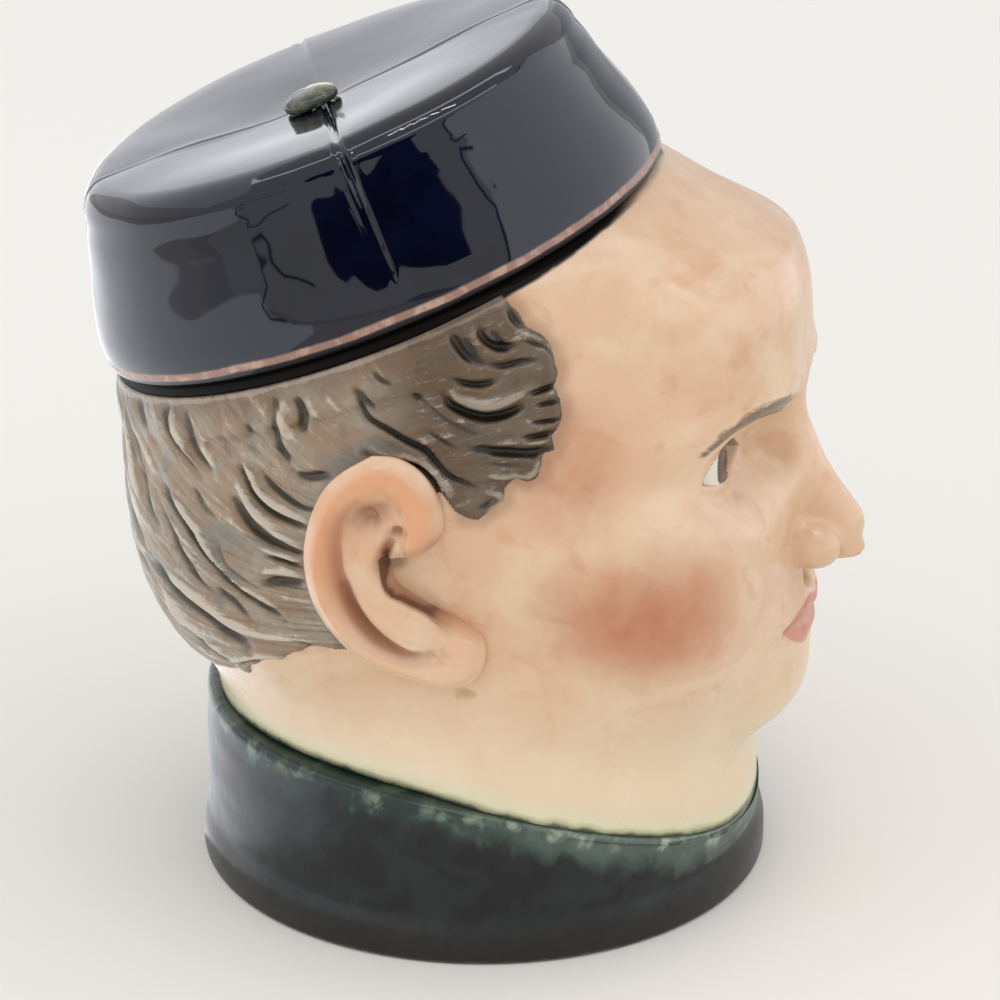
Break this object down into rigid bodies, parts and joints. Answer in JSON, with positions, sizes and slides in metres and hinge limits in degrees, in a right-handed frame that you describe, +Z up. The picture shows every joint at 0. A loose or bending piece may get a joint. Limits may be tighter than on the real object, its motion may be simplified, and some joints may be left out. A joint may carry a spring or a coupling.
{
  "type": "tobacco jar",
  "caption": "Covered tobacco jar in the form of a man's head on a round collar base; the tilted round cap lifts off as the lid of the hollow jar.",
  "frame": {"origin": "centre of the foot, on the surface that the jar stands on", "axes": "+Z up, the face looks along -Y, the figure's right side is -X"},
  "size_m": [0.124, 0.1426, 0.1605],
  "materials": {
    "collar_glaze": "glossy dark green-black glaze, thinner and paler at the top edge",
    "skin_glaze": "painted cream and peach under a clear glossy glaze",
    "ear_glaze": "painted pink under a clear glossy glaze",
    "cap_glaze": "very glossy navy glaze",
    "flange_glaze": "plain off-white glaze",
    "button_glaze": "grey-green glaze with one gilt quarter"
  },
  "bodies": {
    "jar": {"collar_base": "collar_glaze", "head_shell": "skin_glaze", "ear_right": "ear_glaze", "ear_left": "ear_glaze"},
    "lid": {"cap_shell": "cap_glaze", "lid_flange": "flange_glaze", "cap_button": "button_glaze"}
  },
  "joints": [
    {"name": "lid_lift", "type": "slide", "parent": "jar", "child": "lid", "axis": [0, 0.3778, 0.9259], "range_m": [0, 0.06]}
  ]
}
